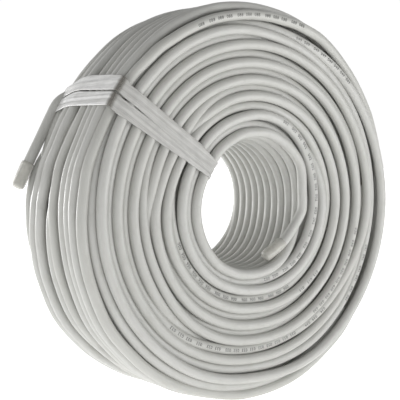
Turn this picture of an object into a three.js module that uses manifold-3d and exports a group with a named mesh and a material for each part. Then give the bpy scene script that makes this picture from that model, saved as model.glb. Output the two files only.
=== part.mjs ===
// Coil of coaxial cable standing on its rim, held together by two loops of stretch film.
// Millimetres, +Z up. The coil's axis runs along Y and the end face in front looks along -Y.
import * as THREE from 'three';
import { mergeVertices } from 'three/addons/utils/BufferGeometryUtils.js';
import ManifoldModule from 'manifold-3d';

// Cable and winding
const CABLE_DIAMETER = 7.0;
const TURNS_ACROSS = 11;
const LAYERS = 15;
const BORE_RADIUS = 44.0;
const CABLE_RADIUS = CABLE_DIAMETER / 2;
const LAYER_PITCH = CABLE_DIAMETER * Math.sin(Math.PI / 3);
const OUTER_RADIUS = BORE_RADIUS + CABLE_DIAMETER + (LAYERS - 1) * LAYER_PITCH;
const COIL_WIDTH = TURNS_ACROSS * CABLE_DIAMETER;
const HALF_WIDTH = COIL_WIDTH / 2;

// Turned solid
const COIL_SEGMENTS = 48;
const CREST_HALF_WIDTH = 1.4;
const VALLEY_DEPTH = 2.2;
const SUNK_TURN_DEPTH = 3.0;
const CENTRE_HEIGHT = OUTER_RADIUS * Math.cos(Math.PI / COIL_SEGMENTS);

// Stretch film
const FILM_ANGLE = 147;
const FILM_THICKNESS = 0.6;
const FILM_CLEARANCE = 0.3;
const FILM_GAP = 0.6;
const UPPER_FILM_RIM_WIDTH = 11.6;
const LOWER_FILM_RIM_WIDTH = 10.0;
const FILM_BORE_WIDTH = 5.8;
const FILM_CORNER_STEPS = 4;

// Free ends, in the order the cable leaves the winding: angle in degrees, rise above the layer
// that the end comes from, and shift from the turn that it comes from
const TAIL_SIDES = 12;
const TAIL_CLEARANCE = 0.3;
const OUTER_TAIL_ROUTE = [
  [151.0, -1.6, 0.0],
  [155.0, -1.3, 0.0],
  [159.4, -0.3, 0.0],
  [164.0, 1.7, 0.0],
  [168.0, 4.2, 0.0],
  [171.5, 6.9, 0.0],
  [174.3, 9.5, 0.0],
];
const INNER_TAIL_ROUTE = [
  [362.8, -0.1, 0.0],
  [353.0, -0.2, 0.2],
  [344.7, -2.1, 0.7],
  [336.3, -4.2, 1.1],
  [327.8, -5.9, 1.0],
  [318.4, -7.4, 0.5],
  [309.6, -8.5, 1.3],
  [300.4, -8.6, 2.2],
  [291.5, -7.8, 3.0],
];
const CAP_LENGTH = 17.0;
const CAP_WALL = 0.6;
const CAP_SIDES = 24;
const CAP_INNER_RADIUS = CABLE_RADIUS + TAIL_CLEARANCE;
const CAP_OUTER_RADIUS = CAP_INNER_RADIUS + CAP_WALL;

const jacket = new THREE.MeshStandardMaterial({ color: 0xc9c7c1, roughness: 0.45, metalness: 0 });
const film = new THREE.MeshStandardMaterial({ color: 0xe2e2df, roughness: 0.3, metalness: 0 });
const tape = new THREE.MeshStandardMaterial({ color: 0xcfc6b6, roughness: 0.4, metalness: 0 });

const manifold = await ManifoldModule();
manifold.setup();

// Centre of the turn with this number across the width, and of the layer with this number
function turnPlace(turn) {
  return (turn + 0.5) * CABLE_DIAMETER - HALF_WIDTH;
}

function layerRadius(layer) {
  return BORE_RADIUS + CABLE_RADIUS + layer * LAYER_PITCH;
}

// Half section of the winding: rim, back face, bore and front face, closed on itself
function coilProfile() {
  const profile = [];
  const add = (radius, place) => profile.push(new THREE.Vector2(radius, place));
  const slant = CABLE_RADIUS * Math.SQRT1_2;
  for (let turn = 0; turn < TURNS_ACROSS; turn += 1) {
    const place = turnPlace(turn);
    add(OUTER_RADIUS, place - CREST_HALF_WIDTH);
    add(OUTER_RADIUS, place + CREST_HALF_WIDTH);
    if (turn < TURNS_ACROSS - 1) {
      add(OUTER_RADIUS - VALLEY_DEPTH, place + CABLE_RADIUS);
    }
  }
  add(layerRadius(LAYERS - 1) + slant, turnPlace(TURNS_ACROSS - 1) + slant);
  for (let layer = LAYERS - 1; layer >= 0; layer -= 1) {
    addFaceTurn(add, layer, 1);
  }
  add(BORE_RADIUS + CABLE_RADIUS - slant, turnPlace(TURNS_ACROSS - 1) + slant);
  for (let turn = TURNS_ACROSS - 1; turn >= 0; turn -= 1) {
    add(BORE_RADIUS, turnPlace(turn));
    if (turn > 0) {
      add(BORE_RADIUS + VALLEY_DEPTH, turnPlace(turn) - CABLE_RADIUS);
    }
  }
  add(BORE_RADIUS + CABLE_RADIUS - slant, turnPlace(0) - slant);
  for (let layer = 0; layer < LAYERS; layer += 1) {
    addFaceTurn(add, layer, -1);
  }
  add(layerRadius(LAYERS - 1) + slant, turnPlace(0) - slant);
  profile.push(profile[0].clone());
  return profile;
}

// Every second layer has one turn fewer, so it lies sunk between its neighbours on a face
function addFaceTurn(add, layer, side) {
  const sunk = layer % 2 === 1;
  const place = side * (HALF_WIDTH - (sunk ? SUNK_TURN_DEPTH : 0));
  const half = sunk ? CREST_HALF_WIDTH / 2 : CREST_HALF_WIDTH;
  add(layerRadius(layer) - side * -half, place);
  add(layerRadius(layer) + side * -half, place);
}

function toManifold(geometry) {
  const bare = geometry.clone();
  bare.deleteAttribute('normal');
  bare.deleteAttribute('uv');
  const merged = mergeVertices(bare, 1e-4);
  return new manifold.Manifold(new manifold.Mesh({
    numProp: 3,
    vertProperties: Float32Array.from(merged.attributes.position.array),
    triVerts: Uint32Array.from(merged.index.array),
  }));
}

function toGeometry(solid) {
  const mesh = solid.getMesh();
  const geometry = new THREE.BufferGeometry();
  geometry.setAttribute('position', new THREE.BufferAttribute(mesh.vertProperties, 3));
  geometry.setIndex(new THREE.BufferAttribute(mesh.triVerts, 1));
  geometry.computeVertexNormals();
  return geometry;
}

function tubeAlong(curve, radius, steps) {
  const section = new THREE.Shape();
  section.absarc(0, 0, radius, 0, 2 * Math.PI);
  return new THREE.ExtrudeGeometry(section, {
    extrudePath: curve,
    steps,
    curveSegments: TAIL_SIDES / 2,
    bevelEnabled: false,
  });
}

// A free end's route in the shared frame
function routePoints(route) {
  const layer = route === OUTER_TAIL_ROUTE ? LAYERS - 1 : 0;
  const turn = route === OUTER_TAIL_ROUTE ? TURNS_ACROSS - 1 : 0;
  return route.map(([degrees, rise, shift]) => {
    const angle = THREE.MathUtils.degToRad(degrees);
    const radius = layerRadius(layer) + rise;
    const height = CENTRE_HEIGHT + radius * Math.sin(angle);
    return new THREE.Vector3(radius * Math.cos(angle), turnPlace(turn) + shift, height);
  });
}

// The route with its ends drawn out by a clearance, for the groove that the free end lies in
function grooveCurve(route) {
  const points = routePoints(route);
  const first = points[0].clone().sub(points[1]).setLength(TAIL_CLEARANCE).add(points[0]);
  const count = points.length;
  const ahead = points[count - 1].clone().sub(points[count - 2]);
  const last = ahead.setLength(CABLE_DIAMETER).add(points[count - 1]);
  return new THREE.CatmullRomCurve3([first, ...points, last]);
}

function tailCurve(route) {
  return new THREE.CatmullRomCurve3(routePoints(route));
}

function tailSteps(route) {
  return Math.max(6, Math.round(tailCurve(route).getLength() / (0.8 * CABLE_DIAMETER)));
}

function coilGeometry() {
  const turned = new THREE.LatheGeometry(coilProfile(), COIL_SEGMENTS, Math.PI / COIL_SEGMENTS);
  turned.translate(0, 0, CENTRE_HEIGHT);
  let solid = toManifold(turned);
  for (const route of [OUTER_TAIL_ROUTE, INNER_TAIL_ROUTE]) {
    const radius = (CABLE_RADIUS + TAIL_CLEARANCE) / Math.cos(Math.PI / TAIL_SIDES);
    const groove = tubeAlong(grooveCurve(route), radius, tailSteps(route) + 2);
    solid = solid.subtract(toManifold(groove));
    solid = solid.subtract(toManifold(capPocket(route)));
  }
  return toGeometry(solid);
}

// Loop of film round the section: corner arcs in the plane of radius and width
function filmLoop(offset) {
  const reach = (CABLE_RADIUS + offset) / Math.cos(Math.PI / 4 / FILM_CORNER_STEPS);
  const corners = [
    [layerRadius(LAYERS - 1), turnPlace(0), -90],
    [layerRadius(LAYERS - 1), turnPlace(TURNS_ACROSS - 1), 0],
    [layerRadius(0), turnPlace(TURNS_ACROSS - 1), 90],
    [layerRadius(0), turnPlace(0), 180],
  ];
  const loop = [];
  for (const [radius, place, start] of corners) {
    for (let step = 0; step <= FILM_CORNER_STEPS; step += 1) {
      const angle = THREE.MathUtils.degToRad(start + (90 * step) / FILM_CORNER_STEPS);
      loop.push([radius + reach * Math.cos(angle), place + reach * Math.sin(angle)]);
    }
  }
  return loop;
}

// Band of film: side +1 lies above the film's direction and side -1 below it
function filmGeometry(side, rimWidth) {
  const inner = filmLoop(FILM_CLEARANCE);
  const outer = filmLoop(FILM_CLEARANCE + FILM_THICKNESS);
  const angle = THREE.MathUtils.degToRad(FILM_ANGLE);
  const along = new THREE.Vector2(Math.cos(angle), Math.sin(angle));
  const across = new THREE.Vector2(Math.sin(angle), -Math.cos(angle));
  const positions = [];
  const corner = (radius, place, shift) => {
    const inBore = radius < (BORE_RADIUS + OUTER_RADIUS) / 2;
    const rise = inBore ? Math.sqrt(radius * radius - shift * shift) : radius;
    const spot = along.clone().multiplyScalar(rise).addScaledVector(across, shift);
    positions.push(spot.x, place, spot.y + CENTRE_HEIGHT);
  };
  inner.forEach(([radius, place], index) => {
    const share = (radius - BORE_RADIUS) / (OUTER_RADIUS - BORE_RADIUS);
    const width = THREE.MathUtils.lerp(FILM_BORE_WIDTH, rimWidth, THREE.MathUtils.clamp(share, 0, 1));
    const near = side * FILM_GAP / 2;
    const far = side * (FILM_GAP / 2 + width);
    corner(radius, place, near);
    corner(outer[index][0], outer[index][1], near);
    corner(outer[index][0], outer[index][1], far);
    corner(radius, place, far);
  });
  const count = inner.length;
  const faces = [];
  for (let station = 0; station < count; station += 1) {
    const next = (station + 1) % count;
    for (let edge = 0; edge < 4; edge += 1) {
      const a = station * 4 + edge;
      const b = station * 4 + ((edge + 1) % 4);
      const c = next * 4 + ((edge + 1) % 4);
      const d = next * 4 + edge;
      if (side > 0) {
        faces.push(a, b, c, a, c, d);
      } else {
        faces.push(a, c, b, a, d, c);
      }
    }
  }
  const geometry = new THREE.BufferGeometry();
  geometry.setAttribute('position', new THREE.Float32BufferAttribute(positions, 3));
  geometry.setIndex(faces);
  geometry.computeVertexNormals();
  return geometry;
}

// Clear cap of tape over a cable end: a cup whose floor closes the end
function capGeometry() {
  const tip = TAIL_CLEARANCE + CAP_WALL;
  const rounding = CAP_OUTER_RADIUS / 4;
  const profile = [
    new THREE.Vector2(0, TAIL_CLEARANCE),
    new THREE.Vector2(CAP_INNER_RADIUS, TAIL_CLEARANCE),
    new THREE.Vector2(CAP_INNER_RADIUS, -CAP_LENGTH),
    new THREE.Vector2(CAP_OUTER_RADIUS, -CAP_LENGTH),
    new THREE.Vector2(CAP_OUTER_RADIUS, tip),
    new THREE.Vector2(CAP_OUTER_RADIUS - rounding, tip + rounding),
    new THREE.Vector2(0, tip + rounding),
  ];
  return new THREE.LatheGeometry(profile, CAP_SIDES);
}

// Turn that lays a shape's own +Y along the last stretch of a free end
function endTurn(curve) {
  return new THREE.Quaternion().setFromUnitVectors(new THREE.Vector3(0, 1, 0), curve.getTangent(1));
}

// Room for the cap where a free end still lies close to the winding
function capPocket(route) {
  const curve = tailCurve(route);
  const radius = (CAP_OUTER_RADIUS + TAIL_CLEARANCE) / Math.cos(Math.PI / CAP_SIDES);
  const length = CAP_LENGTH + TAIL_CLEARANCE + CABLE_DIAMETER;
  const pocket = new THREE.CylinderGeometry(radius, radius, length, CAP_SIDES);
  pocket.translate(0, CABLE_DIAMETER - length / 2, 0);
  pocket.applyQuaternion(endTurn(curve));
  const end = curve.getPoint(1);
  return pocket.translate(end.x, end.y, end.z);
}

const coil = new THREE.Group();

function addMesh(name, geometry, material) {
  const mesh = new THREE.Mesh(geometry, material);
  mesh.name = name;
  coil.add(mesh);
  return mesh;
}

function addTail(side, route) {
  const curve = tailCurve(route);
  addMesh(`cable_tail_${side}`, tubeAlong(curve, CABLE_RADIUS, tailSteps(route)), jacket);
  const cap = addMesh(`end_cap_${side}`, capGeometry(), tape);
  cap.position.copy(curve.getPoint(1));
  cap.quaternion.copy(endTurn(curve));
}

addMesh('cable_coil', coilGeometry(), jacket);
addTail('outer', OUTER_TAIL_ROUTE);
addTail('inner', INNER_TAIL_ROUTE);
addMesh('film_strap_upper', filmGeometry(1, UPPER_FILM_RIM_WIDTH), film);
addMesh('film_strap_lower', filmGeometry(-1, LOWER_FILM_RIM_WIDTH), film);

export default coil;
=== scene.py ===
import math

import bmesh
import bpy
import numpy as np
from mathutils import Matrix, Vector


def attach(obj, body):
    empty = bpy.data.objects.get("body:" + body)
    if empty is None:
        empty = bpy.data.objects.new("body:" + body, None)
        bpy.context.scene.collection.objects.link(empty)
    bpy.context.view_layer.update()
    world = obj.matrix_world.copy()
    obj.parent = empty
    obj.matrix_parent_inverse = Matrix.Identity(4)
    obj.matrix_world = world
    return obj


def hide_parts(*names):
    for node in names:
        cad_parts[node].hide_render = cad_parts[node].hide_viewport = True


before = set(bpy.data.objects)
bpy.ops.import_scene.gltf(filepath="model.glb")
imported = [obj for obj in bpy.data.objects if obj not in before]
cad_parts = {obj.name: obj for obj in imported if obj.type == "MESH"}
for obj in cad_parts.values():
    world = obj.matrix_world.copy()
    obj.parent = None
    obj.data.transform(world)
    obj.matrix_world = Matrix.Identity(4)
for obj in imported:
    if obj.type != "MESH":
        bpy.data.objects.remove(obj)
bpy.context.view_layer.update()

# Sizes in millimetres, as in the CAD model
CABLE_DIAMETER = 7.0
CABLE_RADIUS = CABLE_DIAMETER / 2
TURNS_ACROSS = 11
LAYERS = 15
BORE_RADIUS = 44.0
LAYER_PITCH = CABLE_DIAMETER * math.sin(math.pi / 3)
OUTER_RADIUS = BORE_RADIUS + CABLE_DIAMETER + (LAYERS - 1) * LAYER_PITCH
HALF_WIDTH = TURNS_ACROSS * CABLE_DIAMETER / 2
CENTRE_HEIGHT = OUTER_RADIUS * math.cos(math.pi / 48)
FILM_ANGLE = 147.0

# Free ends: angle in degrees, rise above the layer that the end comes from, and shift from
# the turn that it comes from
OUTER_TAIL_ROUTE = [
    (151.0, -1.6, 0.0),
    (155.0, -1.3, 0.0),
    (159.4, -0.3, 0.0),
    (164.0, 1.7, 0.0),
    (168.0, 4.2, 0.0),
    (171.5, 6.9, 0.0),
    (174.3, 9.5, 0.0),
]
INNER_TAIL_ROUTE = [
    (362.8, -0.1, 0.0),
    (353.0, -0.2, 0.2),
    (344.7, -2.1, 0.7),
    (336.3, -4.2, 1.1),
    (327.8, -5.9, 1.0),
    (318.4, -7.4, 0.5),
    (309.6, -8.5, 1.3),
    (300.4, -8.6, 2.2),
    (291.5, -7.8, 3.0),
]

# Tape over each cut: how far it reaches back over the cable, its wall, the gap that it leaves
# before the cut, and the corners of its section
CAP_LENGTH = 17.0
TAPE_WALL = 0.55
TAPE_GAP = 0.35
TAPE_SIDES = 28

# Fineness of the cable's section and of a closed turn
SIDES = 20
STEPS_ROUND = 200
rng = np.random.RandomState(15)


def layer_radius(layer):
    return BORE_RADIUS + CABLE_RADIUS + layer * LAYER_PITCH


def turn_place(turn):
    return (turn + 0.5) * CABLE_DIAMETER - HALF_WIDTH


def eased(share):
    """A share from 0 to 1 with a soft start and end."""
    return share * share * (3 - 2 * share)


def ring_points(angles, radii, places):
    """Points in metres in the shared frame, from angles in degrees and millimetres."""
    turned = np.radians(np.asarray(angles, float))
    radii = np.broadcast_to(radii, turned.shape)
    places = np.broadcast_to(places, turned.shape)
    spots = np.stack(
        [radii * np.cos(turned), places, CENTRE_HEIGHT + radii * np.sin(turned)], axis=1
    )
    return spots * 0.001


# Camera at the photograph's angle
def make_camera():
    lens = bpy.data.cameras.new("camera")
    lens.sensor_width = 36.0
    lens.lens = 88.73
    lens.clip_end = 20.0
    camera = bpy.data.objects.new("camera", lens)
    bpy.context.scene.collection.objects.link(camera)
    height = CENTRE_HEIGHT * 0.001
    camera.location = Vector((-0.44693, -0.53702, height + 0.04598))
    target = Vector((-0.01798, 0.0, height + 0.002155))
    camera.rotation_euler = (target - camera.location).to_track_quat("-Z", "Y").to_euler()
    bpy.context.scene.camera = camera


make_camera()


class Wire:
    """A shader socket that takes part in sums."""

    def __init__(self, graph, socket):
        self.graph = graph
        self.socket = socket

    def __add__(self, other):
        return self.graph.math("ADD", self, other)

    def __sub__(self, other):
        return self.graph.math("SUBTRACT", self, other)

    def __mul__(self, other):
        return self.graph.math("MULTIPLY", self, other)

    def __pow__(self, other):
        return self.graph.math("POWER", self, other)


class Graph:
    """The nodes of one material, with its shader."""

    def __init__(self, name, **sockets):
        self.material = bpy.data.materials.new(name)
        self.material.use_nodes = True
        self.tree = self.material.node_tree
        self.tree.nodes.clear()
        self.shader = self.tree.nodes.new("ShaderNodeBsdfPrincipled")
        output = self.tree.nodes.new("ShaderNodeOutputMaterial")
        self.tree.links.new(self.shader.outputs["BSDF"], output.inputs["Surface"])
        for socket, value in sockets.items():
            self.shader.inputs[socket.replace("_", " ")].default_value = value

    def plug(self, socket, value):
        if isinstance(value, Wire):
            self.tree.links.new(value.socket, socket)
        elif value is not None:
            socket.default_value = value

    def node(self, kind, settings=None, inputs=None, output=0):
        node = self.tree.nodes.new(kind)
        for name, value in (settings or {}).items():
            setattr(node, name, value)
        for name, value in (inputs or {}).items():
            self.plug(node.inputs[name], value)
        return Wire(self, node.outputs[output])

    def math(self, operation, first, second):
        return self.node("ShaderNodeMath", {"operation": operation}, {0: first, 1: second})

    def mix(self, factor, first, second):
        settings = {"data_type": "RGBA", "clamp_factor": True}
        return self.node("ShaderNodeMix", settings, {0: factor, 6: first, 7: second}, 2)

    def noise(self, vector, scale, detail=2.0, roughness=0.5, distortion=0.0):
        inputs = {
            "Vector": vector,
            "Scale": scale,
            "Detail": detail,
            "Roughness": roughness,
            "Distortion": distortion,
        }
        return self.node("ShaderNodeTexNoise", {}, inputs)

    def combine(self, x, y, z):
        return self.node("ShaderNodeCombineXYZ", {}, {"X": x, "Y": y, "Z": z})

    def spread(self, value, low, high, to_low=0.0, to_high=1.0):
        inputs = {"Value": value, 1: low, 2: high, 3: to_low, 4: to_high}
        return self.node("ShaderNodeMapRange", {"clamp": True}, inputs)

    def attribute(self, name):
        settings = {"attribute_type": "GEOMETRY", "attribute_name": name}
        return self.node("ShaderNodeAttribute", settings, {}, 2)

    def feed(self, **values):
        for name, value in values.items():
            self.plug(self.shader.inputs[name.replace("_", " ")], value)

    def bump(self, height, strength, distance):
        inputs = {"Strength": strength, "Distance": distance, "Height": height}
        return self.node("ShaderNodeBump", {}, inputs)


def shade(red, green, blue):
    """A colour given as it looks on a screen, from 0 to 255, as the linear one."""
    parts = [part / 255 for part in (red, green, blue)]
    linear = [
        part / 12.92 if part <= 0.04045 else ((part + 0.055) / 1.055) ** 2.4 for part in parts
    ]
    return (*linear, 1.0)


def jacket_material():
    graph = Graph("jacket_vinyl", Roughness=0.42, IOR=1.5)
    place = graph.node("ShaderNodeTexCoord", {}, {}, "Object")
    parts = graph.tree.nodes.new("ShaderNodeSeparateXYZ")
    graph.plug(parts.inputs[0], place)
    x, y, z = (Wire(graph, parts.outputs[axis]) for axis in "XYZ")
    rise = z - CENTRE_HEIGHT * 0.001
    radius = (x * x + rise * rise) ** 0.5
    angle = graph.math("ARCTAN2", rise, x)
    # Faint die lines along the cable, from how the jacket is drawn
    lines = graph.noise(graph.combine(radius * 1100.0, y * 1100.0, angle * 5.0), 1.0, 2.0)
    dull = graph.noise(place, 28.0, 3.0, 0.55)
    scuff = graph.noise(graph.combine(radius * 260.0, y * 260.0, angle * 11.0), 1.0, 3.0, 0.6)
    # Each turn's tint darkens the jacket: a random tone from turn to turn, and painted shade where
    # it is set high, on the low rim turns and the core.
    turn = graph.attribute("turn_tone_and_shade")
    grain = graph.noise(place, 2600.0, 2.0)
    base = graph.mix(dull, shade(182, 182, 178), shade(193, 193, 189))
    base = graph.mix(graph.spread(lines, 0.3, 0.75, 0.0, 0.5), base, shade(198, 198, 195))
    base = graph.mix(graph.spread(scuff, 0.52, 0.8, 0.0, 0.5), base, shade(170, 169, 163))
    base = graph.mix(turn * 0.35, base, shade(176, 176, 169))
    graph.feed(
        Base_Color=base,
        Roughness=graph.spread(scuff, 0.25, 0.8, 0.34, 0.56),
        Normal=graph.bump(lines * 0.7 + grain * 0.3, 0.25, 0.0002),
    )
    return graph.material


def film_material():
    graph = Graph("stretch_film", Roughness=0.32, IOR=1.5)
    lay = graph.node("ShaderNodeUVMap", {"uv_map": "lay"}, {}, 0)
    parts = graph.tree.nodes.new("ShaderNodeSeparateXYZ")
    graph.plug(parts.inputs[0], lay)
    along, across = (Wire(graph, parts.outputs[axis]) for axis in "XY")
    fine = graph.noise(graph.combine(along * 0.03, across * 2.4, 0.0), 1.0, 4.0, 0.65, 0.6)
    broad = graph.noise(graph.combine(along * 0.018, across * 0.55, 3.0), 1.0, 3.0, 0.5, 0.8)
    patch = graph.noise(graph.combine(along * 0.12, across * 0.22, 7.0), 1.0, 2.0)
    fold_shade = graph.attribute("fold_shade")
    # On the face the film is drawn out thinner, so that more of the cable shows through
    thin = graph.attribute("thin")
    base = graph.mix(fine, shade(222, 222, 220), shade(244, 244, 243))
    base = graph.mix(graph.spread(broad, 0.45, 0.75, 0.0, 0.6), base, shade(196, 195, 190))
    base = graph.mix(thin * 0.75, base, shade(184, 183, 179))
    # Painted shade over the front rim corner: the film there is darkened
    base = graph.mix(fold_shade, base, shade(112, 107, 98))
    cover = graph.spread(fine * 0.6 + patch * 0.4, 0.3, 0.6, 0.66, 0.95) - thin * 0.16
    graph.feed(
        Base_Color=base,
        Alpha=cover - fold_shade * 0.2,
        Roughness=graph.spread(fine, 0.3, 0.7, 0.22, 0.45),
        Normal=graph.bump(fine * 0.6 + broad * 0.4, 0.5, 0.0004),
    )
    return graph.material


def tape_material():
    graph = Graph("clear_tape", Roughness=0.25, IOR=1.47)
    place = graph.node("ShaderNodeTexCoord", {}, {}, "Object")
    crease = graph.noise(place, 180.0, 2.0, 0.5, 0.4)
    cloud = graph.noise(place, 70.0, 2.0)
    base = graph.mix(cloud, shade(205, 203, 194), shade(226, 225, 219))
    graph.feed(
        Base_Color=base,
        Alpha=graph.spread(crease, 0.3, 0.75, 0.45, 0.6),
        Roughness=graph.spread(crease, 0.3, 0.7, 0.16, 0.4),
        Normal=graph.bump(crease, 0.4, 0.0004),
    )
    return graph.material


def floor_material():
    graph = Graph("floor_white", Roughness=0.7, IOR=1.3, Emission_Color=(1, 1, 1, 1))
    graph.shader.inputs["Emission Strength"].default_value = 0.9
    place = graph.node("ShaderNodeTexCoord", {}, {}, "Object")
    cloud = graph.noise(place, 1.5, 2.0)
    graph.feed(Base_Color=graph.mix(cloud, (0.9, 0.9, 0.9, 1), (0.93, 0.93, 0.93, 1)))
    return graph.material


def ink_material():
    graph = Graph("metre_ink", Roughness=0.5, IOR=1.45)
    place = graph.node("ShaderNodeTexCoord", {}, {}, "Object")
    worn = graph.noise(place, 900.0, 3.0, 0.6)
    pale = graph.noise(place, 60.0, 2.0)
    base = graph.mix(graph.spread(pale, 0.35, 0.7), shade(24, 24, 24), shade(84, 84, 82))
    graph.feed(
        Base_Color=base,
        Alpha=graph.spread(worn, 0.25, 0.5, 0.55, 0.95),
        Roughness=graph.spread(worn, 0.3, 0.7, 0.4, 0.6),
    )
    return graph.material


JACKET = jacket_material()
INK = ink_material()
FILM = film_material()
TAPE = tape_material()


def cable_tree():
    """Geometry nodes that draw a jacket of one diameter along every guide line."""
    tree = bpy.data.node_groups.new("cable_along_guides", "GeometryNodeTree")
    sockets = {}
    for name, kind in (
        ("Guides", "NodeSocketGeometry"),
        ("Diameter", "NodeSocketFloat"),
        ("Sides", "NodeSocketInt"),
        ("Jacket", "NodeSocketMaterial"),
    ):
        sockets[name] = tree.interface.new_socket(name, in_out="INPUT", socket_type=kind)
    tree.interface.new_socket("Cable", in_out="OUTPUT", socket_type="NodeSocketGeometry")
    add = tree.nodes.new
    link = tree.links.new
    source = add("NodeGroupInput")
    result = add("NodeGroupOutput")
    curves = add("GeometryNodeMeshToCurve")
    halved = add("ShaderNodeMath")
    halved.operation = "MULTIPLY"
    halved.inputs[1].default_value = 0.5
    section = add("GeometryNodeCurvePrimitiveCircle")
    tube = add("GeometryNodeCurveToMesh")
    tube.inputs["Fill Caps"].default_value = True
    smooth = add("GeometryNodeSetShadeSmooth")
    solid = add("GeometryNodeRealizeInstances")
    finish = add("GeometryNodeSetMaterial")
    link(source.outputs["Guides"], curves.inputs["Mesh"])
    link(source.outputs["Diameter"], halved.inputs[0])
    link(halved.outputs[0], section.inputs["Radius"])
    link(source.outputs["Sides"], section.inputs["Resolution"])
    link(curves.outputs["Curve"], tube.inputs["Curve"])
    link(section.outputs["Curve"], tube.inputs["Profile Curve"])
    link(tube.outputs["Mesh"], smooth.inputs["Geometry"])
    link(smooth.outputs["Geometry"], solid.inputs["Geometry"])
    link(solid.outputs["Geometry"], finish.inputs["Geometry"])
    link(source.outputs["Jacket"], finish.inputs["Material"])
    link(finish.outputs["Geometry"], result.inputs["Cable"])
    return tree, {name: socket.identifier for name, socket in sockets.items()}


CABLE_TREE, CABLE_INPUTS = cable_tree()


def link_object(name, mesh):
    piece = bpy.data.objects.new(name, mesh)
    bpy.context.scene.collection.objects.link(piece)
    return piece


def laid_cable(name, runs):
    """One piece of jacketed cable along runs: (points in metres, closed, tint)."""
    spots, edges, tints = [], [], []
    for points, closed, tint in runs:
        first = len(spots)
        count = len(points)
        spots.extend(map(tuple, points))
        tints.extend([tint] * count)
        edges.extend((first + step, first + step + 1) for step in range(count - 1))
        if closed:
            edges.append((first + count - 1, first))
    guide = bpy.data.meshes.new(name + "_guide")
    guide.from_pydata(spots, edges, [])
    guide.attributes.new("turn_tone_and_shade", "FLOAT", "POINT").data.foreach_set("value", tints)
    helper = link_object(name + "_guide", guide)
    modifier = helper.modifiers.new("cable", "NODES")
    modifier.node_group = CABLE_TREE
    modifier[CABLE_INPUTS["Diameter"]] = CABLE_DIAMETER * 0.001
    modifier[CABLE_INPUTS["Sides"]] = SIDES
    modifier[CABLE_INPUTS["Jacket"]] = JACKET
    mesh = baked(helper, name)
    return link_object(name, mesh)


def baked(helper, name):
    """The evaluated mesh of a helper object, which is then taken away."""
    sight = bpy.context.evaluated_depsgraph_get()
    mesh = bpy.data.meshes.new_from_object(
        helper.evaluated_get(sight), preserve_all_data_layers=True, depsgraph=sight
    )
    mesh.name = name
    helper.modifiers.clear()
    spare = helper.data
    bpy.data.objects.remove(helper)
    bpy.data.meshes.remove(spare)
    return mesh


def flowing(points, per_stretch=6):
    """A smooth line through points, with several steps to each stretch."""
    points = np.asarray(points, float)
    ahead = 2 * points[-1] - points[-2]
    behind = 2 * points[0] - points[1]
    all_points = np.vstack([behind, points, ahead])
    line = []
    for index in range(1, len(all_points) - 2):
        a, b, c, d = all_points[index - 1 : index + 3]
        for step in range(per_stretch):
            t = step / per_stretch
            line.append(
                0.5
                * (
                    2 * b
                    + (c - a) * t
                    + (2 * a - 5 * b + 4 * c - d) * t * t
                    + (3 * b - a - 3 * c + d) * t ** 3
                )
            )
    line.append(points[-1])
    return np.array(line)


# Free ends of the cable, with the clear tape over each cut
def tail_line(route, layer, turn):
    angles, rises, shifts = np.array(route).T
    spots = ring_points(angles, layer_radius(layer) + rises, turn_place(turn) + shifts)
    return flowing(spots)


def end_cap(name, line, wide, thick, wobble):
    """Clear tape over a cable end: wound round it, pressed shut and rounded at the tip."""
    end = line[-1]
    along = line[-1] - line[-2]
    along /= np.linalg.norm(along)
    side = np.cross(along, (0.0, 0.0, 1.0))
    side /= np.linalg.norm(side)
    up = np.cross(side, along)
    back = np.array([0.0, 1.2, 1.4, 4.0, 8.0, 12.0, 15.0, 16.6, 17.4, 18.0, 18.3]) - CAP_LENGTH
    size = np.array([0.93, 0.96, 1.0, 1.0, 1.01, 1.0, 0.99, 0.94, 0.82, 0.55, 0.0])
    spots, faces = [], []

    def add_ring(distance, across, over, inset=0.0):
        first = len(spots)
        for step in range(TAPE_SIDES):
            turn = 2 * math.pi * step / TAPE_SIDES
            uneven = 1 + wobble * math.sin(3 * turn + distance * 0.5)
            spot = (
                end
                + along * distance * 0.001
                + side * math.cos(turn) * (across * uneven - inset) * 0.001
                + up * math.sin(turn) * (over * uneven - inset) * 0.001
            )
            spots.append(tuple(spot))
        return first

    def join(first, second):
        for step in range(TAPE_SIDES):
            after = (step + 1) % TAPE_SIDES
            faces.append((first + step, first + after, second + after, second + step))

    outer = [
        add_ring(distance, wide / 2 * share, thick / 2 * share)
        for distance, share in zip(back[:-1], size[:-1])
    ]
    for first, second in zip(outer, outer[1:]):
        join(first, second)
    tip = len(spots)
    spots.append(tuple(end + along * back[-1] * 0.001))
    inner = [
        add_ring(distance, wide / 2 * 0.95, thick / 2 * 0.95, TAPE_WALL)
        for distance in (back[0], -8.0, TAPE_GAP)
    ]
    join(inner[0], outer[0])
    for first, second in zip(inner, inner[1:]):
        join(second, first)
    bottom = len(spots)
    spots.append(tuple(end + along * TAPE_GAP * 0.001))
    for step in range(TAPE_SIDES):
        after = (step + 1) % TAPE_SIDES
        faces.append((outer[-1] + step, outer[-1] + after, tip))
        faces.append((inner[-1] + after, inner[-1] + step, bottom))
    mesh = bpy.data.meshes.new(name)
    mesh.from_pydata(spots, [], faces)
    mesh.materials.append(TAPE)
    mesh.shade_smooth()
    mesh.update()
    return link_object(name, mesh)


def free_end(side, route, layer, turn, wide, thick):
    line = tail_line(route, layer, turn)
    tail = laid_cable(f"free_end_{side}", [(line, False, 0.3)])
    cap = end_cap(f"tape_on_{side}_end", line, wide, thick, 0.012)
    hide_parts(f"cable_tail_{side}")
    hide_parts(f"end_cap_{side}")
    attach(tail, "root")
    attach(cap, "root")
    return tail


free_end("outer", OUTER_TAIL_ROUTE, LAYERS - 1, TURNS_ACROSS - 1, 8.8, 8.8)
free_end("inner", INNER_TAIL_ROUTE, 0, 0, 9.6, 8.4)


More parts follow.
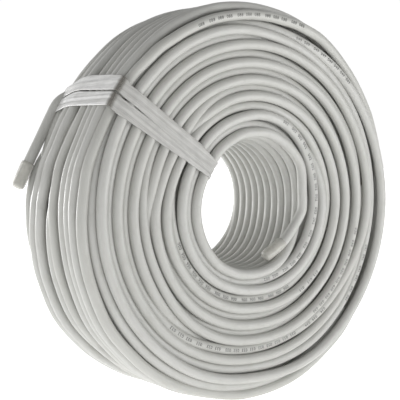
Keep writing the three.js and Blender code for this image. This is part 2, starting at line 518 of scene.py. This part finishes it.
# How one turn strays from its true circle: values given at a few angles, joined smoothly
def round_values(keys, angles):
    if not isinstance(keys, dict):
        return np.full(np.shape(angles), float(keys))
    stops = sorted(keys)
    values = [keys[stop] for stop in stops]
    stops = [stops[-1] - 360] + stops + [stops[0] + 360]
    values = [values[-1]] + values + [values[0]]
    angles = np.mod(np.asarray(angles, float), 360)
    index = np.clip(np.searchsorted(stops, angles, side="right") - 1, 0, len(stops) - 2)
    stops, values = np.array(stops, float), np.array(values, float)
    share = eased((angles - stops[index]) / (stops[index + 1] - stops[index]))
    return values[index] * (1 - share) + values[index + 1] * share


def sway(angles, size):
    """Small slow waves of a hand-guided winding, whole numbers of them in a turn."""
    total = np.zeros(np.shape(angles))
    turned = np.radians(np.asarray(angles, float))
    for waves in (2, 3, 5, 8):
        total += rng.normal() * np.sin(waves * turned + rng.uniform(0, 2 * math.pi)) / waves
    return total * size


RING_ANGLES = np.arange(STEPS_ROUND) * 360.0 / STEPS_ROUND

# How far the film pulls the rim in, by angle, and the share of it that each place takes
FILM_PULL = {60: 0.0, 90: 0.2, 110: 0.45, 130: 0.8, 147: 1.0, 160: 0.6, 175: 0.15, 190: 0.0}


def pulled(angles, place):
    depth = np.interp(place, [-38.5, 5.8, 15.0, 28.0, 34.5], [0.0, 0.0, 0.8, 3.2, 6.2])
    return depth * round_values(FILM_PULL, angles)


def ring(radius, place, sway_size=0.22):
    """A closed turn: radius and place may each be a number or values at angles."""
    radii = round_values(radius, RING_ANGLES) + sway(RING_ANGLES, sway_size)
    places = round_values(place, RING_ANGLES) + sway(RING_ANGLES, sway_size * 0.5)
    return radii, places


def as_run(radii, places, tint=None):
    points = ring_points(RING_ANGLES, radii, places)
    return points, True, float(rng.uniform(0, 1) if tint is None else tint)


# Turns on the rim, from behind its front turn towards the back: radius and place, each a number
# or values by angle
RIM_TURNS = [
    (
        132.6,
        {0: -21.5, 40: -26.5, 90: -28, 120: -27.8, 150: -25, 180: -20.9, 230: -20, 270: -23},
    ),
    (
        132.4,
        {0: -14.8, 40: -19, 90: -20.5, 120: -19, 150: -19.8, 180: -15.2, 230: -14, 270: -15.5},
    ),
    (132.2, {0: -8, 40: -12, 90: -12.5, 120: -10, 150: -13, 180: -8.5, 230: -6.5, 270: -8}),
    (
        132.0,
        {0: 3, 40: -3, 90: -4, 120: -1.5, 150: -4.5, 170: 2, 180: 4.2, 200: 5.4, 230: 5},
    ),
    (
        132.3,
        {
            0: 16, 90: 10, 150: 9.7, 160: 12, 170: 15.7, 180: 19.7, 190: 23.2, 200: 25.5,
            220: 27.8, 300: 24,
        },
    ),
    (
        132.4,
        {
            0: 26, 90: 18, 150: 16.8, 160: 19, 170: 23, 180: 27.2, 190: 30.3, 200: 32.3,
            220: 34.8, 300: 31,
        },
    ),
    (
        {0: 128, 90: 131, 150: 130.5, 165: 128, 175: 125, 300: 125},
        {0: 30, 90: 25.5, 150: 25.7, 175: 30, 300: 30},
    ),
]

# A turn that comes up on the left of the rim and crosses its neighbours below it
CROSSING_TURN = [
    (166, 126.5, 0), (174, 130, 3.5), (182, 132.3, 6.2), (190, 132.5, 8.7), (200, 132.5, 10.7),
    (210, 132.5, 11.2), (220, 132.6, 8.5), (228, 132.8, 1), (236, 131.5, -5), (246, 127, -7),
]

# Low turns that show in the two wide gaps of the rim, given a dark tint as painted shade
LOW_RIM_TURNS = [
    (126.6, {0: -2.5, 60: 3, 150: 3, 165: 0, 180: -2.5, 230: -0.5, 300: -1.5}),
    (126.6, {0: 9.5, 150: 9.5, 180: 11, 230: 13.3, 300: 12}),
]

# The front turn of the rim, by angle: radius and place
FRONT_RIM_TURN = {
    0: (132.3, -28.5), 20: (132, -30.5), 30: (131.6, -32), 45: (131.3, -33.5), 60: (131, -34.5),
    70: (129.3, -35), 80: (127.9, -35), 90: (127.1, -35), 100: (126.5, -35), 110: (127, -35),
    120: (127.4, -35), 130: (129.2, -34.5), 140: (129.4, -31.5), 150: (129.3, -29.8),
    170: (131.2, -29), 190: (132.6, -29), 210: (132.6, -29), 230: (132.2, -29.3),
    250: (131.5, -30), 270: (131.2, -31.5), 290: (131.8, -32), 310: (132, -31), 330: (132.2, -29),
}

# The cable on the photographed face, followed from where each stretch comes out from
# behind its neighbours to where it goes back: angle, radius and place, the last place holding
# until the next one. A stretch that goes on over 360 degrees is the same cable, one layer out.
FACE_STRETCHES = [
    [
        (5, 54, -28), (35, 56.5, -29.5), (65, 55.5, -29.8), (85, 54.7, -31), (100, 54.7, -31.5),
        (150, 53.4), (190, 55.3), (230, 54.7), (250, 54), (270, 53.3), (290, 54, -32.7),
        (310, 55.5, -35), (330, 56.9), (360, 58.3), (375, 58.9), (390, 60.2), (405, 61.8),
        (420, 62.6), (440, 61.9), (460, 60), (480, 59.5), (510, 59.2), (540, 60.7), (550, 61.2),
        (570, 60.6), (590, 59.9), (610, 58.6), (630, 58.6), (660, 62.3), (690, 65.8), (720, 66.9),
        (735, 66.5, -33.5), (750, 65.7, -31), (765, 64.5, -29), (780, 64, -27.5),
    ],
    [
        (160, 67, -29), (190, 67.5, -31.5), (230, 66.5), (270, 65), (300, 68.5), (330, 71.5),
        (360, 74), (390, 70.8, -33.3), (405, 70.3, -33.5), (420, 69, -33), (440, 67.8, -32),
        (460, 67, -31.5), (480, 67, -33), (500, 68.4, -35), (510, 68.6), (520, 69.8), (530, 71.6),
        (540, 73.1), (550, 74), (560, 74), (590, 72.4), (610, 71.5), (630, 71.1), (660, 75.3),
        (690, 79.5), (720, 81.1), (750, 79.3), (780, 76.3), (800, 74.4), (820, 73.6),
        (840, 72.5, -34.5), (860, 71.8, -31.5), (870, 72.3, -29.5), (910, 77, -30),
        (950, 77.5, -31), (990, 77, -31.5), (1020, 80.7, -30), (1080, 86.3, -29), (1140, 82, -30),
        (1180, 79.3, -31.5), (1200, 78.3, -33), (1220, 76.3, -35), (1230, 76), (1250, 79.4),
        (1260, 82.4), (1270, 83), (1280, 82.8), (1310, 83.4), (1330, 82.6), (1350, 82.6),
        (1380, 86.2), (1410, 90.1), (1440, 91.6), (1470, 89.9), (1500, 87.3), (1520, 85.2),
        (1540, 84.6), (1580, 84.3), (1590, 84), (1610, 85, -34.5), (1620, 86.3, -32.5),
        (1630, 88, -30), (1670, 88.5, -29.5), (1690, 88, -31), (1710, 88.3, -31.5),
        (1740, 91.5, -30), (1800, 97.5, -29), (1860, 93, -30), (1900, 90.6, -31.5), (1950, 90.4),
        (1970, 91, -32.5), (1990, 91, -34), (2010, 90.8, -34.5), (2030, 92.4, -35), (2050, 93),
        (2070, 93), (2100, 96.7), (2130, 101), (2160, 103.5), (2190, 101.8), (2220, 98.5),
        (2240, 96.5), (2260, 96.2), (2310, 96.5), (2340, 99.2), (2350, 99.1), (2370, 98.7),
        (2380, 98.6, -34), (2390, 98.5, -32), (2400, 97.5, -30), (2410, 97, -28.5),
        (2430, 97, -27),
    ],
    [
        (-15, 107, -28), (0, 109.3, -29.5), (20, 108.5, -31), (45, 105, -31), (65, 103, -30.5),
        (85, 102.5, -30.8), (100, 102.4, -31.5), (150, 102.6), (190, 105.1), (210, 104.3, -31.2),
        (220, 104.2, -32.5), (230, 104.1, -34.5), (250, 100, -33.5), (270, 99.5, -32.5),
        (290, 100.3, -33.3), (300, 101.8, -34.3), (310, 103, -35), (320, 105), (330, 107.5),
        (340, 111), (350, 114), (360, 115.6), (370, 115.1), (390, 113.1), (405, 112),
        (420, 110.4), (440, 109), (460, 108.1), (510, 108.8), (540, 111), (550, 110.9),
        (570, 109.8), (590, 109), (610, 106.8), (630, 106), (660, 109.5), (680, 111.5),
        (690, 112.2, -34.5), (700, 113.6, -33), (708, 114.5, -31), (725, 114, -28.5),
    ],
    [
        (75, 113, -28), (90, 113.5, -30.5), (100, 113.7, -31.5), (150, 115), (190, 116.6),
        (230, 114.5), (250, 113.2), (270, 112.5), (300, 117.4, -33), (330, 120, -32),
        (360, 122.3, -31.2), (390, 119.8, -32.5), (405, 118.5), (420, 117, -33.5),
        (440, 116.4, -34.8), (450, 117.6, -35), (460, 118.9), (480, 119.5), (500, 120),
        (510, 121.2), (530, 122), (550, 122.3), (570, 121.3), (590, 119.9), (610, 119.6),
        (630, 119.5), (640, 122), (650, 124.9), (660, 127), (680, 129.4), (690, 130.5),
        (705, 131.6), (720, 131.8), (735, 129.8), (750, 127.3), (765, 124.8), (780, 122.7, -34.3),
        (790, 121.9, -32.5), (800, 122.3, -30.8), (820, 122.8, -29.2), (850, 124, -29),
        (870, 124, -28), (910, 126.6, -29.8), (930, 126.3, -30), (950, 125.6, -30.5),
        (970, 125, -31), (990, 125), (1010, 127, -29.5), (1040, 126.5, -27),
    ],
]

# Radius of the front turn in the bore, by angle: it is the first one of the winding
BORE_FRONT_RADIUS = {
    0: 48.7, 35: 52, 65: 51, 95: 49.3, 120: 47.9, 145: 47, 190: 49.4, 230: 49.5, 250: 48.4,
    270: 47.7, 300: 48,
}

# The back turn of the rim, and the places of each layer's outermost turn at the back, for even
# and odd layers
LAST_TURN_PLACE = 34.6
LAST_TURN_RADIUS = 132.2
BACK_PLACES = (35.0, 31.5)

# How far the whole rim stands out of its true circle, by angle
OUT_OF_ROUND = {
    0: 2.4, 20: 3.2, 45: 1.7, 65: 2.5, 85: 1.5, 100: 1.4, 118: 0.2, 136: -1.6, 157: -1.7,
    172: 0.2, 185: 0.8, 200: 1.5, 212: 2.3, 225: 1.0, 240: 0, 255: -1.4, 270: 0, 300: 0.8,
    315: 2.6, 330: 3.0,
}

# A stretch is laid in steps of this angle, and smoothed over this many steps to each side
STRETCH_STEP = 1.8
SMOOTHED_STEPS = 6


def on_floor(angles, radii):
    """Turns flattened where the coil stands on its rim."""
    down = np.maximum(-np.sin(np.radians(np.asarray(angles, float))), 0.2)
    return np.minimum(radii, (CENTRE_HEIGHT - CABLE_RADIUS) / down)


def stretch_line(rows):
    """A stretch of the face as even steps of angle, radius and place."""
    keys = []
    for row in rows:
        keys.append((row[0], row[1], row[2] if len(row) > 2 else keys[-1][2]))
    keys = np.array(keys, float)
    angles = np.arange(keys[0, 0], keys[-1, 0] + 0.01, STRETCH_STEP)
    window = np.hanning(2 * SMOOTHED_STEPS + 1)
    window /= window.sum()
    lines = [np.interp(angles, keys[:, 0], keys[:, column]) for column in (1, 2)]
    padded = [np.pad(line, SMOOTHED_STEPS, mode="edge") for line in lines]
    radii, places = (np.convolve(line, window, "valid") for line in padded)
    return angles, radii, places


def front_rim_turn(angles):
    radii = round_values({angle: spot[0] for angle, spot in FRONT_RIM_TURN.items()}, angles)
    places = round_values({angle: spot[1] for angle, spot in FRONT_RIM_TURN.items()}, angles)
    return radii + round_values(OUT_OF_ROUND, angles) * 0.8, places


def rim_runs():
    runs = []
    for radius, place in RIM_TURNS:
        radii, places = ring(radius, place)
        radii = radii - pulled(RING_ANGLES, places) + round_values(OUT_OF_ROUND, RING_ANGLES)
        radii = on_floor(RING_ANGLES, radii)
        runs.append(as_run(radii, places))
    for radius, place in LOW_RIM_TURNS:
        radii, places = ring(radius, place)
        # A dark tint on the low turns: painted shade in the rim's gaps
        runs.append(as_run(radii, places, 0.9))
    radii, places = front_rim_turn(RING_ANGLES)
    runs.append(as_run(on_floor(RING_ANGLES, radii), places))
    angles, radii, places = stretch_line(CROSSING_TURN)
    radii = radii + round_values(OUT_OF_ROUND, angles)
    runs.append((ring_points(angles, radii, places), False, 0.3))
    return runs


def last_turn():
    """The back turn of the rim: it climbs out behind the film and ends as the outer free end."""
    angles = np.concatenate([np.linspace(158, 500, 190), np.linspace(501.5, 511, 12)])
    keys = [158, 164, 168, 172, 178, 188, 200, 250, 290]
    climb = [121, 125.5, 128.8, 131, 132.2, 131.5, 128.5, 128.5, LAST_TURN_RADIUS]
    radii = np.interp(angles, keys, climb)
    free_of_film = np.interp(angles, [190, 300, 505, 511], [0, 1, 1, 0])
    radii = radii - pulled(angles, LAST_TURN_PLACE) * free_of_film
    radii = radii + round_values(OUT_OF_ROUND, angles) * np.clip((angles - 176) / 14, 0, 1)
    start = layer_radius(LAYERS - 1) + OUTER_TAIL_ROUTE[0][1]
    closing = eased(np.clip((angles - 500) / 11, 0, 1))
    radii = radii * (1 - closing) + start * closing
    last_place = turn_place(TURNS_ACROSS - 1)
    places = np.interp(
        angles, [158, 172, 500, 511], [33.5, LAST_TURN_PLACE, LAST_TURN_PLACE, last_place]
    )
    return ring_points(angles, on_floor(angles, radii), places), False, 0.4


def front_runs():
    runs = []
    for rows in FACE_STRETCHES:
        angles, radii, places = stretch_line(rows)
        runs.append((ring_points(angles, radii, places), False, float(rng.uniform(0, 1))))
    return runs


def back_runs(turns):
    runs = []
    for radius, place in turns:
        radii, places = ring(radius, place)
        runs.append(as_run(radii, places))
    return runs


def back_turns():
    """Radius and place of the outermost turn of each layer at the back."""
    turns = []
    for layer in range(1, LAYERS - 1):
        stray = {angle: rng.normal() * 0.5 for angle in (10, 80, 150, 220, 290)}
        radius = {angle: layer_radius(layer) + shift for angle, shift in stray.items()}
        turns.append((radius, BACK_PLACES[layer % 2]))
    return turns


def bore_run():
    """The innermost layer: one run that steps across at the lower right of the bore."""
    first = INNER_TAIL_ROUTE[0][0]
    steps_round = 150
    crossing_start = 290.0
    crossing_span = 70.0
    count = steps_round * TURNS_ACROSS
    angles = first + np.arange(count + 1) * 360.0 / steps_round
    turned = angles - crossing_start
    whole = np.floor(turned / 360.0)
    share = eased(np.clip((turned - whole * 360.0) / crossing_span, 0, 1))
    places = turn_place(0) + CABLE_DIAMETER * (whole - 1 + share)
    places = np.clip(places, turn_place(0), turn_place(TURNS_ACROSS - 1))
    front = round_values(BORE_FRONT_RADIUS, angles)
    true = layer_radius(0) + sway(angles, 0.15)
    nearness = np.clip(1 - (places - turn_place(0)) / (3 * CABLE_DIAMETER), 0, 1)
    radii = true + (front - true) * nearness
    start = layer_radius(0) + INNER_TAIL_ROUTE[0][1]
    opening = eased(np.clip((angles - first) / 28.0, 0, 1))
    radii = start + (radii - start) * opening
    return ring_points(angles, radii, places), False, 0.35


def winding_piece(name, runs):
    piece = laid_cable(name, runs)
    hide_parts("cable_coil")
    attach(piece, "root")
    return piece


winding_piece("winding_rim", rim_runs() + [last_turn()])
winding_piece("winding_front", front_runs())
winding_piece("winding_back", back_runs(back_turns()))
winding_piece("winding_bore", [bore_run()])


# Plain metre numbers printed along the jacket: stretch of the face, the angles that the print
# runs between, and the number of metres from the inner end
METRE_MARKS = [
    (0, 426, 284, 2), (1, 300, 200, 6), (1, 680, 667, 13), (1, 2148, 2108, 30),
    (2, 311, 300, 34), (2, 293, 226, 33), (3, 343, 322, 41), (3, 791, 762, 49), (4, 113, 71, 88),
]

# The digits' height, the levels that they are cut at to bend, the distances from one number to
# the next, and how far the ink stands off the jacket
MARK_HEIGHT = 2.3
MARK_LEVELS = np.arange(0.3, MARK_HEIGHT, 0.45)
MARK_GAPS = [7.6, 7.6, 9.5]
INK_LIFT = 0.03


def printed_number(text):
    """A number as a thin flat solid, cut level by level so that it can bend round the jacket."""
    lettering = bpy.data.curves.new("number", "FONT")
    lettering.body = text
    lettering.size = MARK_HEIGHT * 1.35
    lettering.extrude = 0.02
    lettering.space_character = 1.15
    lettering.resolution_u = 3
    helper = link_object("number", lettering)
    sight = bpy.context.evaluated_depsgraph_get()
    mesh = bpy.data.meshes.new_from_object(helper.evaluated_get(sight), depsgraph=sight)
    bpy.data.objects.remove(helper)
    bpy.data.curves.remove(lettering)
    work = bmesh.new()
    work.from_mesh(mesh)
    bpy.data.meshes.remove(mesh)
    bmesh.ops.remove_doubles(work, verts=work.verts, dist=1e-4)
    for level in MARK_LEVELS:
        everything = work.verts[:] + work.edges[:] + work.faces[:]
        bmesh.ops.bisect_plane(work, geom=everything, plane_co=(0, level, 0), plane_no=(0, 1, 0))
    return work


def metre_marks():
    spots, faces = [], []
    lines = [stretch_line(rows) for rows in FACE_STRETCHES]
    round_once = np.arange(0, 361, 2.0)
    lines.append((round_once, *front_rim_turn(round_once)))
    for index, first, last, metres in METRE_MARKS:
        angles, radii, places = lines[index]
        work = printed_number(f"{metres:03d}")
        turned = first
        while turned > last:
            start = len(spots)
            radius = float(np.interp(turned, angles, radii))
            for vertex in work.verts:
                at = turned - math.degrees(vertex.co.x / radius)
                middle = float(np.interp(at, angles, radii))
                place = float(np.interp(at, angles, places))
                lean = (vertex.co.y - MARK_HEIGHT / 2) / CABLE_RADIUS
                reach = CABLE_RADIUS + INK_LIFT + vertex.co.z
                spot = ring_points(
                    [at], middle + reach * math.sin(lean), place - reach * math.cos(lean)
                )
                spots.append(tuple(spot[0]))
            faces.extend(tuple(start + v.index for v in face.verts) for face in work.faces)
            turned -= math.degrees(rng.choice(MARK_GAPS) / radius)
        work.free()
    mesh = bpy.data.meshes.new("metre_marks")
    mesh.from_pydata(spots, [], faces)
    mesh.materials.append(INK)
    mesh.update()
    marks = link_object("metre_marks", mesh)
    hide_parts("cable_coil")
    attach(marks, "root")


metre_marks()


# Section of the filling behind the turns that show: radius and place
CORE_SECTION = [
    (127.0, -22.0), (127.0, 14.0), (121.0, 22.0), (119.0, 31.0), (56.0, 31.0),
    (51.0, 28.0), (51.0, -26.0), (56.0, -29.0), (110.0, -29.0), (120.0, -25.0),
]
CORE_STEPS = 120


def core():
    """Filling behind the turns that show, so that no light comes through the winding."""
    spots, faces = [], []
    angles = np.arange(CORE_STEPS) * 360.0 / CORE_STEPS
    for radius, place in CORE_SECTION:
        spots.extend(map(tuple, ring_points(angles, radius, place)))
    for row in range(len(CORE_SECTION)):
        near = row * CORE_STEPS
        far = (row + 1) % len(CORE_SECTION) * CORE_STEPS
        for step in range(CORE_STEPS):
            ahead = (step + 1) % CORE_STEPS
            faces.append((near + step, far + step, far + ahead, near + ahead))
    mesh = bpy.data.meshes.new("winding_core")
    mesh.from_pydata(spots, [], faces)
    mesh.materials.append(JACKET)
    mesh.shade_smooth()
    # The core takes the darkest tint: painted shade, as it shows only in the gaps between turns
    mesh.attributes.new("turn_tone_and_shade", "FLOAT", "POINT").data.foreach_set("value", [1.0] * len(spots))
    piece = link_object("winding_core", mesh)
    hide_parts("cable_coil")
    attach(piece, "root")


core()


# Stretch film: a taut band laid round the section of the winding. At the front edge of the rim
# it is gathered round a corner that stands a little off the cable, and the film over that corner is
# painted dark as painted shade.
FILM_CORNER = (131.4, -33.6)
FOLD_MIDDLE = (134.4, -36.4)
FOLD_HALF_WIDTH = 1.2

# How far the film's outer and inner skins stand off the band's line, the height of its small
# wrinkles, and its widest place against its mean width
FILM_OUTER_RISE = 0.28
FILM_INNER_RISE = -0.02
WRINKLE_HEIGHT = 0.11
WIDEST_TO_MEAN = 1.4

# Where the face gives way to the rim, and over what distance
FACE_EDGE_RADIUS = 128.0
FACE_EDGE_WIDTH = 6.0


def section_circles(angle):
    """Centres of the turns that the film lies on, as radius and place."""
    centres = []
    spot_angle = np.array([angle])
    for radius, place in RIM_TURNS:
        at = round_values(place, spot_angle)
        out = round_values(radius, spot_angle) - pulled(spot_angle, at)
        out = out + round_values(OUT_OF_ROUND, spot_angle)
        centres.append((float(out[0]), float(at[0])))
    last_radius = LAST_TURN_RADIUS - pulled(spot_angle, LAST_TURN_PLACE)
    centres.append((float(last_radius[0]), LAST_TURN_PLACE))
    centres.append(FILM_CORNER)
    for rows in FACE_STRETCHES:
        angles, radii, places = stretch_line(rows)
        for turned in np.arange(angle, angles[-1], 360.0):
            if turned > angles[0]:
                spot = (float(np.interp(turned, angles, line)) for line in (radii, places))
                centres.append(tuple(spot))
    for layer in range(1, LAYERS - 1):
        centres.append((layer_radius(layer), BACK_PLACES[layer % 2]))
    for turn in range(TURNS_ACROSS):
        centres.append((layer_radius(0) if turn else BORE_FRONT_RADIUS[145], turn_place(turn)))
    return centres


def taut_loop(centres, reach, count):
    """Outline of a band pulled tight round circles, in even steps, from the front rim corner."""
    turned = np.radians(np.arange(0, 360, 10))
    cloud = [
        (radius + reach * math.cos(a), place + reach * math.sin(a))
        for radius, place in centres
        for a in turned
    ]
    cloud = sorted(set(cloud))

    def half(points):
        chain = []
        for point in points:
            while len(chain) > 1:
                (ax, ay), (bx, by) = chain[-2:]
                if (bx - ax) * (point[1] - ay) - (by - ay) * (point[0] - ax) > 0:
                    break
                chain.pop()
            chain.append(point)
        return chain[:-1]

    hull = np.array(half(cloud) + half(cloud[::-1]))
    start = int(np.argmax(hull[:, 0] - hull[:, 1]))
    hull = np.vstack([hull[start:], hull[: start + 1]])
    lengths = np.concatenate([[0], np.cumsum(np.linalg.norm(np.diff(hull, axis=0), axis=1))])
    spots = np.linspace(0, lengths[-1], count, endpoint=False)
    loop = np.stack([np.interp(spots, lengths, hull[:, axis]) for axis in (0, 1)], axis=1)
    return loop, spots, lengths[-1]


def film_edges(radius, place, side):
    """Edges of one film as distances from the middle line of both: the near and the far one."""
    if side > 0:
        face = np.interp(radius, [46, 64, 100, 134.5], [6.1, 8.7, 9.2, 9.6])
        rim = np.interp(place, [-38, -20, 6, 24, 38], [11.8, 14.0, 15.6, 14.0, 12.0])
        inner_face = np.interp(radius, [46, 70, 110, 134.5], [-1.5, -1.0, -0.2, 0.6])
        inner_rim = np.interp(place, [-38, 6, 38], [1.2, 3.6, 2.5])
    else:
        face = np.interp(radius, [46, 54, 96, 134], [-6.1, -6.3, -9.0, -11.4])
        rim = np.interp(place, [-38, 0, 38], [-9.6, -8.6, -8.4])
        inner_face = np.interp(radius, [46, 70, 110, 134.5], [1.0, 0.6, -0.6, -1.0])
        inner_rim = np.interp(place, [-38, 6, 38], [-0.2, 2.4, 1.6])
    if radius < FACE_EDGE_RADIUS:
        return inner_face, face
    blend = min(1.0, (radius - FACE_EDGE_RADIUS) / FACE_EDGE_WIDTH)
    return inner_face + (inner_rim - inner_face) * blend, face + (rim - face) * blend


def film_strap(name, node, side):
    columns, stations = 18, 260
    lift = 0.35 if side > 0 else 0.3
    loop, spots, length = taut_loop(section_circles(FILM_ANGLE), CABLE_RADIUS + lift, stations)
    ahead = np.roll(loop, -1, axis=0) - np.roll(loop, 1, axis=0)
    ahead /= np.linalg.norm(ahead, axis=1)[:, None]
    outward = np.stack([ahead[:, 1], -ahead[:, 0]], axis=1)
    angle = math.radians(FILM_ANGLE)
    along = np.array([math.cos(angle), math.sin(angle)])
    across = np.array([math.sin(angle), -math.cos(angle)])
    waves = [(rng.uniform(0.5, 2.6), rng.uniform(0, 6.3), rng.uniform(0.3, 1.0)) for _ in range(7)]
    sheets = ([], [])
    lay = []
    fold_shades, thins = [], []
    area = 0.0
    for station in range(stations):
        radius, place = loop[station]
        near, far = film_edges(radius, place, side)
        area += abs(far - near) * length / stations
        for column in range(columns):
            share = column / (columns - 1)
            shift = near + (far - near) * share
            edge = math.sin(math.pi * share)
            ridge = sum(
                size * math.sin(rate * shift + phase + 0.02 * spots[station] * math.sin(phase))
                for rate, phase, size in waves
            )
            height = WRINKLE_HEIGHT * ridge * (0.35 + 0.65 * edge)
            rises = (FILM_OUTER_RISE + height, FILM_INNER_RISE + min(0.0, height))
            for sheet, rise in zip(sheets, rises):
                spot = np.array([radius, place]) + outward[station] * rise
                reach = math.sqrt(max(spot[0] ** 2 - shift ** 2, 1.0))
                flat = along * reach + across * shift
                sheet.append((flat[0] * 0.001, spot[1] * 0.001, (flat[1] + CENTRE_HEIGHT) * 0.001))
            lay.append((spots[station], shift))
            # Mask of the painted shade on the film over the front rim corner
            off_corner = math.dist((radius, place), FOLD_MIDDLE) - FOLD_HALF_WIDTH
            fold_shades.append(0.85 * math.exp(-max(off_corner, 0.0) ** 2 / 0.8))
            thins.append(1.0 if radius < 134.0 and place < -30.0 else 0.0)
    faces = []
    grid = stations * columns

    def index(sheet, station, column):
        return sheet * grid + (station % stations) * columns + column

    for station in range(stations):
        for column in range(columns - 1):
            a = index(0, station, column)
            b = index(0, station, column + 1)
            c = index(0, station + 1, column + 1)
            d = index(0, station + 1, column)
            faces.append((a, b, c, d))
            faces.append((a + grid, d + grid, c + grid, b + grid))
        for column, flip in ((0, False), (columns - 1, True)):
            a = index(0, station, column)
            b = index(0, station + 1, column)
            c = index(1, station + 1, column)
            d = index(1, station, column)
            faces.append((a, d, c, b) if flip else (a, b, c, d))
    mesh = bpy.data.meshes.new(name)
    mesh.from_pydata(sheets[0] + sheets[1], [], faces)
    for label, values in (("fold_shade", fold_shades), ("thin", thins)):
        mesh.attributes.new(label, "FLOAT", "POINT").data.foreach_set("value", values + values)
    layer = mesh.uv_layers.new(name="lay")
    for loop_corner in mesh.loops:
        layer.data[loop_corner.index].uv = lay[loop_corner.vertex_index % grid]
    mesh.materials.append(FILM)
    mesh.shade_smooth()
    mesh.update()
    strap = link_object(name, mesh)
    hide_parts(node)
    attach(strap, "root")
    return strap, length, area


for film_name, film_node, film_side in (
    ("film_band_upper", "film_strap_upper", 1),
    ("film_band_lower", "film_strap_lower", -1),
):
    strap, strap_length, strap_area = film_strap(film_name, film_node, film_side)
    widest = strap_area / strap_length * WIDEST_TO_MEAN
    widest * 0.001
    strap_length * 0.001
    strap_area * 1e-6


# Studio
def make_floor():
    size = 4.0
    spots = [(-size, -size, 0), (size, -size, 0), (size, size, 0), (-size, size, 0)]
    mesh = bpy.data.meshes.new("floor")
    mesh.from_pydata(spots, [], [(0, 1, 2, 3)])
    mesh.materials.append(floor_material())
    link_object("floor", mesh)


def make_lamp(name, place, target, size, power):
    lamp = bpy.data.lights.new(name, "AREA")
    lamp.shape = "DISK"
    lamp.size = size
    lamp.energy = power
    item = bpy.data.objects.new(name, lamp)
    bpy.context.scene.collection.objects.link(item)
    item.location = Vector(place)
    item.rotation_euler = (Vector(target) - item.location).to_track_quat("-Z", "Y").to_euler()


def make_world():
    """White behind the coil, and darker overhead and on the side that the photograph is from."""
    world = bpy.data.worlds.new("studio")
    bpy.context.scene.world = world
    world.use_nodes = True
    tree = world.node_tree
    ground = tree.nodes["Background"]
    place = tree.nodes.new("ShaderNodeTexCoord")
    fades = []
    for axis, values in (
        ((0.0, 0.0, 1.0), (0.2, 0.9, 1.02, 0.35)),
        ((0.1, 0.995, 0.0), (-0.95, 0.3, 0.5, 1.0)),
    ):
        lean = tree.nodes.new("ShaderNodeVectorMath")
        lean.operation = "DOT_PRODUCT"
        lean.inputs[1].default_value = axis
        fade = tree.nodes.new("ShaderNodeMapRange")
        fade.interpolation_type = "SMOOTHSTEP"
        for socket, value in zip(("From Min", "From Max", "To Min", "To Max"), values):
            fade.inputs[socket].default_value = value
        tree.links.new(place.outputs["Generated"], lean.inputs[0])
        tree.links.new(lean.outputs["Value"], fade.inputs["Value"])
        fades.append(fade)
    both = tree.nodes.new("ShaderNodeMath")
    both.operation = "MULTIPLY"
    for socket, fade in zip(both.inputs, fades):
        tree.links.new(fade.outputs[0], socket)
    tree.links.new(both.outputs[0], ground.inputs["Strength"])
    ground.inputs["Color"].default_value = (1.0, 1.0, 1.0, 1.0)


make_floor()
make_world()
make_lamp("low_front", (0.3, -0.55, 0.05), (0.03, 0, 0.1), 0.3, 1.2)
make_lamp("through_bore", (-0.2, 0.42, 0.16), (0.046, 0, 0.132), 0.16, 1.0)
bpy.context.scene.view_settings.view_transform = "Standard"
